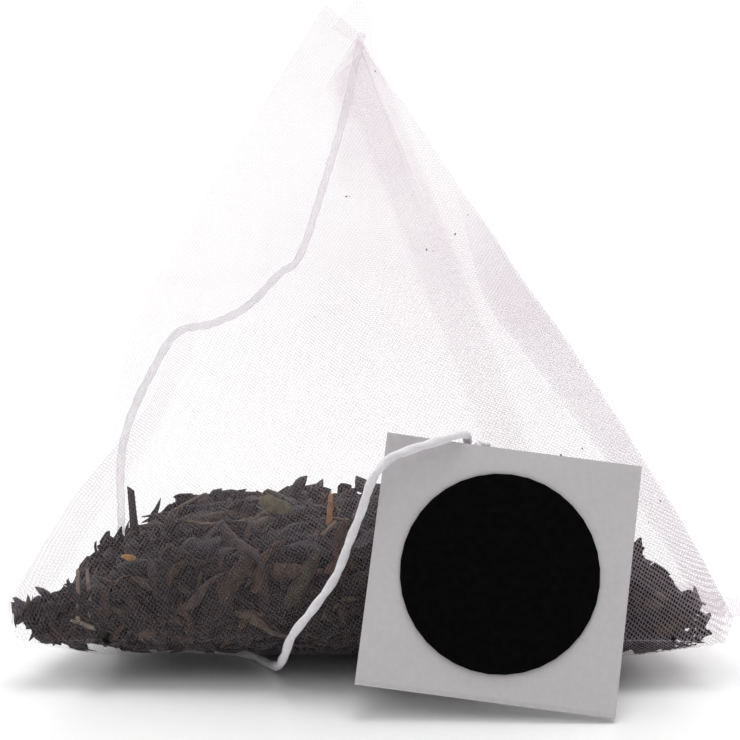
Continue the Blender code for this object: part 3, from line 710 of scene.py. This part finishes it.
def flake_bit(chance, length, width, thick):
    """Points and faces of a broken flat bit of leaf: thin, curled and torn at its rim."""
    count = 9
    curl = chance.uniform(-0.5, 0.5) / max(length, width)
    cup = chance.uniform(-0.4, 0.4)
    rims = []
    for k in range(count):
        a = 2 * math.pi * k / count
        reach = chance.uniform(0.7, 1.12)
        rims.append(Vector((math.cos(a) * length / 2 * reach, math.sin(a) * width / 2 * reach, 0)))
    verts = []
    for level in (0.5, -0.5):
        verts.append(Vector((0, 0, level * thick)))
        for share in (0.55, 1.0):
            for rim in rims:
                p = rim * share
                bow = curl * p.x**2 * 4 + cup * p.y * p.x / length
                p.z = bow + level * thick * (1.1 - 0.5 * share)
                verts.append(p)
    faces = []
    half = 1 + 2 * count
    for level, base in enumerate((0, half)):
        for k in range(count):
            ahead = (k + 1) % count
            tri = (base, base + 1 + k, base + 1 + ahead)
            quad = (base + 1 + k, base + 1 + count + k, base + 1 + count + ahead, base + 1 + ahead)
            faces.append(tri if level == 0 else tri[::-1])
            faces.append(quad if level == 0 else quad[::-1])
    edge = 1 + count
    for k in range(count):
        ahead = (k + 1) % count
        faces.append((edge + k, half + edge + k, half + edge + ahead, edge + ahead))
    return verts, faces


def stem_bit(chance, length, width, thick):
    """Points and faces of a bit of stem: a thin stalk with broken ends."""
    rings, sides = 5, 6
    bend = chance.uniform(-0.07, 0.07) * length
    verts, faces = [], []
    for r in range(rings):
        t = r / (rings - 1)
        fat = (1 - 0.25 * t) * chance.uniform(0.88, 1.1)
        for s in range(sides):
            a = 2 * math.pi * s / sides
            slant = 0.3 * width * math.sin(a) if r in (0, rings - 1) else 0
            verts.append(Vector((
                (t - 0.5) * length + slant, math.cos(a) * width / 2 * fat,
                math.sin(a) * thick / 2 * fat + bend * 4 * t * (1 - t),
            )))
    for r in range(rings - 1):
        for s in range(sides):
            a, b = r * sides + s, r * sides + (s + 1) % sides
            faces.append((a, b, b + sides, a + sides))
    faces.append(tuple(range(sides))[::-1])
    faces.append(tuple(range((rings - 1) * sides, rings * sides)))
    return verts, faces


DARK = [(0.013, 0.011, 0.011), (0.018, 0.014, 0.013), (0.010, 0.009, 0.010), (0.026, 0.019, 0.016),
        (0.016, 0.014, 0.015), (0.012, 0.012, 0.014)]
WARM = [(0.052, 0.030, 0.020), (0.040, 0.025, 0.019), (0.070, 0.040, 0.024), (0.050, 0.038, 0.029)]
OLIVE = [(0.060, 0.054, 0.032), (0.045, 0.042, 0.027)]
STRAW = [(0.17, 0.115, 0.065), (0.14, 0.09, 0.055), (0.20, 0.155, 0.10)]


class Bits:
    """Gathers many small bits into one mesh, each with its own tint, held inside the film."""

    def __init__(self):
        self.verts, self.faces, self.tints = [], [], []

    def add(self, shape, matrix, tint):
        verts, faces = shape
        base = len(self.verts)
        self.verts += [kept_in(matrix @ p) for p in verts]
        self.tints += [tint] * len(verts)
        self.faces += [tuple(base + k for k in face) for face in faces]

    def make(self, name):
        mesh = bpy.data.meshes.new(name)
        mesh.from_pydata(self.verts, [], self.faces)
        layer = mesh.color_attributes.new("tint", "FLOAT_COLOR", "POINT")
        flat = [c for tint in self.tints for c in (*tint, 1.0)]
        layer.data.foreach_set("color", flat)
        mesh.update()
        return new_object(name, mesh, TEA_FINISH)


def kept_in(point, clear=TEA_CLEAR):
    """The point, moved back inside the film where it lies outside it or too close."""
    for _ in range(4):
        spot, normal, _, _ = room.find_nearest(point)
        if (point - spot).dot(normal) <= -clear * 0.9:
            break
        point = spot - normal * clear
    return Vector((point.x, point.y, max(point.z, LOWEST_TEA)))


bed = BVHTree.FromObject(bpy.data.objects["tea_bed"], bpy.context.evaluated_depsgraph_get())


def laid(point):
    """The point, lowered where a bit of tea would stand up from the heap, as soft leaf settles."""
    spot, normal, _, _ = bed.find_nearest(point)
    rise = (point - spot).dot(normal)
    if rise <= LAID_RISE:
        return point
    return point - normal * (rise - LAID_RISE) * LAID_SHARE


def surface_samples(node, count, chance):
    """Points spread evenly over a CAD node's surface, each with the face's normal."""
    data = bpy.data.objects[node].data
    data.calc_loop_triangles()
    triangles, areas, total = [], [], 0.0
    for t in data.loop_triangles:
        a, b, c = (data.vertices[k].co.copy() for k in t.vertices)
        total += (b - a).cross(c - a).length / 2
        triangles.append((a, b, c))
        areas.append(total)
    for _ in range(count):
        a, b, c = triangles[bisect.bisect_left(areas, chance.random() * total)]
        r, s = chance.random(), chance.random()
        if r + s > 1:
            r, s = 1 - r, 1 - s
        yield a + (b - a) * r + (c - a) * s, (b - a).cross(c - a).normalized()


def pick_tint(chance, kind):
    roll = chance.random()
    if kind == "stem":
        base = chance.choice(STRAW if roll < 0.45 else WARM)
    elif roll < 0.78:
        base = chance.choice(DARK)
    elif roll < 0.97:
        base = chance.choice(WARM)
    else:
        base = chance.choice(OLIVE)
    level = chance.uniform(0.75, 1.3)
    return tuple(c * level for c in base)


def shaped(kind, chance):
    """A bit of tea of one kind: its shape, how deep it sits and how far it tilts."""
    if kind == "rolled":
        size, width = chance.uniform(3.5, 9.5) * MM, chance.uniform(0.9, 2.1) * MM
        return rolled_bit(chance, size, width, width * chance.uniform(0.5, 0.95)), 0.3 * width, 0.2
    if kind == "flake":
        size = chance.uniform(1.6, 4.2) * MM
        return flake_bit(chance, size, size * chance.uniform(0.3, 0.6), 0.18 * MM), 0.1 * MM, 0.6
    if kind == "stem":
        size, width = chance.uniform(3.0, 8.0) * MM, chance.uniform(0.26, 0.5) * MM
        return stem_bit(chance, size, width, width), 0.0, 0.15
    size = chance.uniform(0.35, 1.3) * MM
    return flake_bit(chance, size, size * chance.uniform(0.5, 1.0), size * 0.4), 0.2 * MM, 0.9


def corner_spots(count, chance):
    """Points in the two front corners, where the film narrows too far for the tea's own bed."""
    for _ in range(count):
        along = chance.uniform(0.0, 1.0)
        y = -27.0 + chance.uniform(-1.0, 1.5) * (0.2 + along)
        if chance.random() < 0.6:
            x = -33.7 + 6.5 * along
            z = 6.7 - 1.7 * along + chance.uniform(-1.0, 1.0) * (0.4 + 2.4 * along)
        else:
            x = 28.7 - 6.0 * along
            z = 4.2 + chance.uniform(-1.0, 1.0) * (2.0 + 1.2 * along)
        yield Vector((x, y, z)) * MM, Vector((0, -1, 0)), 0.32 + 0.25 * along


def foot_spots(count, chance):
    """Points along the bag's front fold, on both its sides."""
    for _ in range(count):
        right, away = chance.uniform(0.04, 0.9), chance.uniform(0.0, 1.0)
        if chance.random() < 0.5:
            away *= 0.06
            u, v = film_at(1 - right - away, right)
            normal = Vector((0, -1, -0.2))
        else:
            away *= 0.12
            v = right + away
            u = 0.5 + (2 * away - v) / 4
            normal = Vector((0, -0.3, -1))
        yield cloth(u, v, 0.3 * MM), normal.normalized(), 0.6


def scatter(kind, seed, count):
    """Bits of one kind all over the tea, in its outermost layer."""
    chance = random.Random(seed)
    bits = Bits()
    spots = [(*place, 1.0) for place in surface_samples("tea_bed", count, chance)]
    if kind != "stem":
        spots += corner_spots(count // FRONT_SHARE, chance)
        spots += foot_spots(count // FRONT_SHARE, chance)
    for spot, normal, scale in spots:
        (verts, faces), sink, tilt = shaped(kind, chance)
        if normal.z > 0.5:
            sink += chance.uniform(0.2, 0.6) * MM + (0.5 * MM if kind == "rolled" else 0)
        turn = Vector((0, 0, 1)).rotation_difference(normal).to_matrix().to_4x4()
        spin = Matrix.Rotation(chance.uniform(0, 2 * math.pi), 4, "Z")
        lean = Matrix.Rotation(chance.gauss(0, tilt), 4, "Y")
        lean = lean @ Matrix.Rotation(chance.uniform(-1, 1), 4, "X")
        place = Matrix.Translation(spot - normal * sink * scale) @ turn @ spin @ lean
        verts = [place @ (p * scale) for p in verts]
        if scale == 1.0:
            verts = [laid(p) for p in verts]
        bits.add((verts, faces), Matrix(), pick_tint(chance, kind))
    return bits


def tea_core():
    """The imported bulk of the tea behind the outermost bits."""
    source = bpy.data.objects["tea_bed"].data
    mesh = bmesh.new()
    mesh.from_mesh(source)
    mesh.normal_update()
    for vertex in mesh.verts:
        depth = CORE_DEPTH + CORE_UNEVEN * noise.noise(vertex.co * 700)
        vertex.co = kept_in(vertex.co - vertex.normal * depth, CORE_CLEAR)
    layer = mesh.verts.layers.float_color.new("tint")
    for vertex in mesh.verts:
        vertex[layer] = (0.010, 0.008, 0.008, 1)
    return mesh


core = new_object("tea_core", tea_core(), TEA_FINISH)
tea_rolled = scatter("rolled", seed=11, count=1050).make("tea_rolled_leaves")
tea_flakes = scatter("flake", seed=12, count=520).make("tea_broken_flakes")
tea_stems = scatter("stem", seed=13, count=80).make("tea_stems")
tea_crumbs = scatter("crumb", seed=14, count=600).make("tea_crumbs")


def seen_bits():
    """The bits that stand out at the front, each pressed to the film at its place on the tube."""
    chance = random.Random(21)
    bits = Bits()
    for maker, u, v, heading, length, width, tint in (
        (flake_bit, 0.3367, 0.2781, -20, 3.6, 1.7, (0.15, 0.13, 0.075)),
        (stem_bit, 0.3195, 0.3531, 86, 2.4, 0.6, (0.40, 0.19, 0.08)),
        (flake_bit, 0.4180, 0.1094, -12, 1.5, 0.6, (0.55, 0.30, 0.10)),
        (stem_bit, 0.4539, 0.0719, 92, 4.6, 0.45, (0.30, 0.23, 0.19)),
        (stem_bit, 0.4477, 0.0844, 96, 4.2, 0.4, (0.26, 0.20, 0.17)),
        (stem_bit, 0.4617, 0.1031, -18, 3.8, 0.5, (0.30, 0.24, 0.19)),
        (rolled_bit, 0.3992, 0.3344, -25, 6.2, 1.8, (0.12, 0.085, 0.055)),
        (rolled_bit, 0.4050, 0.2300, 35, 6.5, 1.5, (0.075, 0.05, 0.045)),
        (rolled_bit, 0.3700, 0.2600, -50, 6.0, 1.6, (0.06, 0.045, 0.042)),
        (rolled_bit, 0.4350, 0.1900, 15, 6.0, 1.4, (0.09, 0.055, 0.04)),
        (rolled_bit, 0.3350, 0.3900, 60, 6.0, 1.5, (0.10, 0.055, 0.04)),
        (flake_bit, 0.2555, 0.8600, 30, 3.4, 1.6, (0.16, 0.13, 0.12)),
    ):
        here = cloth(u, v)
        on_front = v / 4 < u < 0.5 - v / 4
        out = NORMALS["TLR"] if on_front else Vector((0, -1, -0.3)).normalized()
        flat = Vector((1, 0, 0))
        flat = (flat - out * flat.dot(out)).normalized()
        side = out.cross(flat)
        if side.z < 0:
            side = -side
        turn = math.radians(heading)
        along = flat * math.cos(turn) + side * math.sin(turn)
        axes = Matrix((along, out.cross(along), out)).transposed().to_4x4()
        bits.add(
            maker(chance, length * MM, width * MM, min(width, 0.6) * MM),
            Matrix.Translation(here - out * SEEN_INWARD) @ axes, tint,
        )
    return bits


tea_front = seen_bits().make("tea_front_bits")


def dust():
    """Specks of tea dust that cling to the inside of the film."""
    chance = random.Random(8)
    bits = Bits()
    places = [(0.1211, 0.1344), (0.1195, 0.138), (0.0867, 0.3156), (0.0211, 0.0656)]
    places += [(chance.uniform(0.1, 0.4), chance.uniform(0.1, 0.9)) for _ in range(DUST_SPECKS)]
    for u, v in places:
        size = chance.uniform(0.12, 0.3) * MM
        angle = chance.uniform(0, 6)
        turn = Matrix.Rotation(angle, 4, Vector((chance.gauss(0, 1), 1, 0.2)).normalized())
        shape = flake_bit(chance, size, size * 0.6, size * 0.3)
        bits.add(shape, Matrix.Translation(cloth(u, v)) @ turn, (0.2, 0.18, 0.17))
    return bits


tea_dust = dust().make("tea_dust")


heap = BVHTree.FromObject(tea_rolled, bpy.context.evaluated_depsgraph_get())


def loose_leaf(node):
    """A detailed leaf in the place of a loose piece of the part, let down onto the drawn tea."""
    data = bpy.data.objects[node].data
    points = [v.co.copy() for v in data.vertices]
    middle = sum(points, Vector()) / len(points)
    far = max(points, key=lambda p: (p - middle).length)
    other = max(points, key=lambda p: (p - far).length)
    axis = (other - far).normalized()
    length = (other - far).length
    thick = max((p - middle - axis * (p - middle).dot(axis)).length for p in points)
    chance = random.Random(sum(map(ord, node)))
    stem = "stem" in node or "twig" in node
    width = 2 * thick * (0.75 if stem else 0.85)
    maker = stem_bit if stem else rolled_bit
    shape = maker(chance, length, width, width * (1.0 if stem else 0.65))
    turn = Vector((1, 0, 0)).rotation_difference(axis).to_matrix().to_4x4()
    bits = Bits()
    tint = {"leaf_bud": (0.045, 0.036, 0.036), "upright_twig": (0.05, 0.038, 0.036)}.get(
        node, chance.choice(STRAW if stem else DARK + WARM)
    )
    verts, faces = shape
    verts = [turn @ p + (far + other) / 2 for p in verts]
    over, down = Vector((0, 0, RAY_RISE)), Vector((0, 0, -1))
    drops = [heap.ray_cast(p + over, down)[3] for p in verts]
    drop = min((d - RAY_RISE for d in drops if d is not None), default=0.0)
    drop = 0.0 if node == "upright_twig" else max(drop + LEAF_SUNK, 0.0)
    bits.add((verts, faces), Matrix.Translation((0, 0, -drop)), tint)
    piece = bits.make(node + "_detail")
    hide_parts(node)
    return piece


loose = [
    loose_leaf(name) for name in sorted(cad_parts)
    if name.startswith(("rolled_leaf", "leaf_stem", "leaf_bud", "upright_twig"))
]


# String


def smooth_route(points, spacing):
    """Points at even spacing along a smooth curve through the route's own points."""
    route = [Vector(p) * MM for p in points]
    route = [2 * route[0] - route[1]] + route + [2 * route[-1] - route[-2]]
    fine = []
    for a, b, c, d in zip(route, route[1:], route[2:], route[3:]):
        for k in range(24):
            t = k / 24
            fine.append(
                0.5 * (2 * b + (c - a) * t + (2 * a - 5 * b + 4 * c - d) * t**2
                       + (3 * b - a - 3 * c + d) * t**3)
            )
    fine.append(route[-2])
    length = sum((q - p).length for p, q in zip(fine, fine[1:]))
    count = round(length / spacing)
    even, walked, goal = [fine[0]], 0.0, length / count
    for p, q in zip(fine, fine[1:]):
        step = (q - p).length
        while walked + step >= goal and len(even) < count:
            even.append(p.lerp(q, (goal - walked) / step))
            goal += length / count
        walked += step
    return even + [fine[-1]]


def sweep(path, radius_at, sides):
    """Rings round a path, radius_at(station, angle) from its line, with no sudden twist."""
    rings = []
    side = None
    for k, point in enumerate(path):
        tangent = (path[min(k + 1, len(path) - 1)] - path[max(k - 1, 0)]).normalized()
        if side is None:
            side = tangent.cross(Vector((0.3, 0.2, 0.9))).normalized()
        side = (side - tangent * side.dot(tangent)).normalized()
        other = tangent.cross(side)
        ring = []
        for s in range(sides):
            a = 2 * math.pi * s / sides
            reach = radius_at(k, a)
            ring.append(point + (side * math.cos(a) + other * math.sin(a)) * reach)
        rings.append(ring)
    return rings


STRING_PATH = smooth_route(ROUTE, STRING_STEP)
STRING_LENGTH = sum((q - p).length for p, q in zip(STRING_PATH, STRING_PATH[1:]))


def yarn_radius(k, angle):
    """Two soft plies twisted together, a little uneven along the yarn."""
    turn = 2 * math.pi * k * STRING_STEP / YARN_TWIST
    lobe = 0.80 + 0.22 * abs(math.cos(angle - turn / 2))
    uneven = 1 + 0.07 * noise.noise(Vector((k * 0.09, 0, 0)))
    uneven += 0.05 * noise.noise(Vector((k * 0.5, angle, 3)))
    return STRING_DIAMETER / 2 * lobe * uneven


string = new_object("string_yarn", loft(sweep(STRING_PATH, yarn_radius, YARN_SIDES)), COTTON_FINISH)
# Painted light: the string inside the bag, behind its front and above the floor, gets the loose
# share, so it is drawn translucent and partly see-through and reads paler.
painted_pale_share = string.data.color_attributes.new("loose", "FLOAT_COLOR", "POINT")
for vertex, item in zip(string.data.vertices, painted_pale_share.data):
    share = ramp(4 * MM, 12 * MM, vertex.co.z) * ramp(-26 * MM, -22 * MM, vertex.co.y)
    item.color = (share, share, share, 1)


def fuzz():
    """Loose fibre ends that stand off the yarn."""
    chance = random.Random(5)
    verts, faces = [], []
    for _ in range(FIBRES):
        k = chance.randrange(4, len(STRING_PATH) - 5)
        tangent = (STRING_PATH[k + 1] - STRING_PATH[k - 1]).normalized()
        side = tangent.cross(Vector([chance.gauss(0, 1) for _ in range(3)])).normalized()
        start = STRING_PATH[k] + side * STRING_DIAMETER * 0.34
        run = tangent * chance.uniform(0.2, 0.9) * MM * chance.choice((-1, 1))
        lift = side * chance.uniform(0.08, 0.3) * MM
        path = [start + run * t + lift * math.sin(t * 2.2) for t in (0, 0.33, 0.66, 1.0)]
        base = len(verts)
        for ring in sweep(path, lambda *_: FIBRE_RADIUS, 3):
            verts.extend(Vector((p.x, p.y, max(p.z, LOWEST_FILM))) for p in ring)
        for r in range(3):
            for s in range(3):
                a, b = base + r * 3 + s, base + r * 3 + (s + 1) % 3
                faces.append((a, b, b + 3, a + 3))
    mesh = bpy.data.meshes.new("string_fuzz")
    mesh.from_pydata(verts, [], faces)
    return new_object("string_fuzz", mesh, COTTON_FINISH)


fibres = fuzz()


# Tag and knot

tag_card, tag_disc = bpy.data.objects["tag"], bpy.data.objects["tag_print"]
for piece, finish in ((tag_card, CARD_FINISH), (tag_disc, INK_FINISH)):
    piece.data.materials.clear()
    piece.data.materials.append(finish)


def knot():
    """The knot in the string's end: two turns of yarn wound round each other."""
    low, high = (Vector(corner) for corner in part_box("string_knot"))
    middle, half = (low + high) / 2, (high - low) / 2
    path = []
    for k in range(61):
        t = 2 * math.pi * k / 60 * 1.02
        path.append(middle + Vector((
            math.sin(2 * t) * half.x * 0.5,
            math.cos(3 * t) * half.y * 0.42,
            math.sin(t) * half.z * 0.5,
        )))

    def radius(k, angle):
        return KNOT_YARN * (0.85 + 0.2 * abs(math.cos(angle - k * 0.4)))

    return loft(sweep(path, radius, 10))


knot_piece = new_object("string_knot_yarn", knot(), COTTON_FINISH)


# Riding, and the CAD pieces that the dressed ones stand in for

for piece in (sheet, *layers):
    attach(piece, "root")
for piece in (core, tea_rolled, tea_flakes, tea_stems, tea_crumbs, tea_front, tea_dust, *loose):
    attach(piece, "root")
for piece in (string, fibres, knot_piece):
    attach(piece, "root")

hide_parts("mesh_bag")
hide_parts("tea_bed")
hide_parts("string")
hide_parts("string_knot")

Vector(ROUTE[0]) * MM


# Floor, light and camera. The focal length is in pixels of the photograph.

FLOOR_SIZE = 60
FLOOR_HEIGHT = -0.01 * MM
PHOTO_PIXELS = 740
FOCAL_PIXELS = 1780
SENSOR_WIDTH = 36
CAMERA_TILT = math.radians(13.2)
CAMERA_PLACE = Vector((0, -0.150, 0.064))
BOX_PLACE = Vector((-0.15, -0.4, 0.75))
BOX_AIM = Vector((0, 0, 0.01))


def floor_material():
    """Pale smooth surface with very faint mottle."""
    n = Nodes("pale floor")
    position = n.add("TexCoord").outputs["Object"]
    mottle = n.noise(position, 60.0, 3.0)
    color = n.blend(n.span(mottle, 0.3, 0.7), (0.95, 0.95, 0.953, 1), (0.97, 0.97, 0.971, 1))
    return n.done(n.add("BsdfPrincipled", {"Base Color": color, "Roughness": 0.3}))


bpy.ops.mesh.primitive_plane_add(size=FLOOR_SIZE, location=(0, 0, FLOOR_HEIGHT))
floor = bpy.context.object
floor.name = "floor"
floor.data.materials.append(floor_material())
floor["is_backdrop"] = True


def studio_world():
    """Soft white surroundings: bright behind the object and above it, dimmer in front."""
    world = bpy.data.worlds.new("studio")
    world.use_nodes = True
    tree = world.node_tree
    tree.nodes.clear()

    def add(kind, **sockets):
        node = tree.nodes.new("ShaderNode" + kind)
        for key, value in sockets.items():
            node.inputs[key.replace("_", " ")].default_value = value
        return node

    place, parts = add("TexCoord"), add("SeparateXYZ")
    ahead = add("MapRange", From_Min=-0.6, From_Max=0.5, To_Min=0.1, To_Max=0.89)
    above = add("MapRange", From_Min=0.0, From_Max=1.0, To_Min=0.0, To_Max=0.42)
    total = add("Math")
    ground = add("Background", Color=(1, 1, 1, 1))
    out = add("OutputWorld")
    links = tree.links
    links.new(place.outputs["Generated"], parts.inputs[0])
    links.new(parts.outputs["Y"], ahead.inputs["Value"])
    links.new(parts.outputs["Z"], above.inputs["Value"])
    links.new(ahead.outputs[0], total.inputs[0])
    links.new(above.outputs[0], total.inputs[1])
    links.new(total.outputs[0], ground.inputs["Strength"])
    links.new(ground.outputs[0], out.inputs["Surface"])
    return world


SCENE.world = studio_world()


def put(name, data, location, rotation):
    """Puts a lamp or the camera in the scene."""
    item = bpy.data.objects.new(name, data)
    item.location = location
    item.rotation_euler = rotation
    SCENE.collection.objects.link(item)
    return item


overhead = bpy.data.lights.new("overhead soft light", "SUN")
overhead.angle = math.radians(30)
overhead.energy = 1.1
put("overhead_soft_light", overhead, (0, 0.2, 0.6), (math.radians(-10), math.radians(5), 0))

soft_box = bpy.data.lights.new("front soft box", "AREA")
soft_box.size = 0.4
soft_box.energy = 0.7
aim = (BOX_AIM - BOX_PLACE).to_track_quat("-Z", "Y")
put("front_soft_box", soft_box, BOX_PLACE, aim.to_euler())

SCENE.view_settings.view_transform = "Standard"

lens = bpy.data.cameras.new("camera")
lens.sensor_width = SENSOR_WIDTH
lens.lens = FOCAL_PIXELS / PHOTO_PIXELS * SENSOR_WIDTH
lens.clip_start = 0.01
SCENE.camera = put("camera", lens, CAMERA_PLACE + SHIFT, (math.radians(90) - CAMERA_TILT, 0, 0))

[[list(corner) for corner in box] for box in (CAD_BOX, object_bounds())]
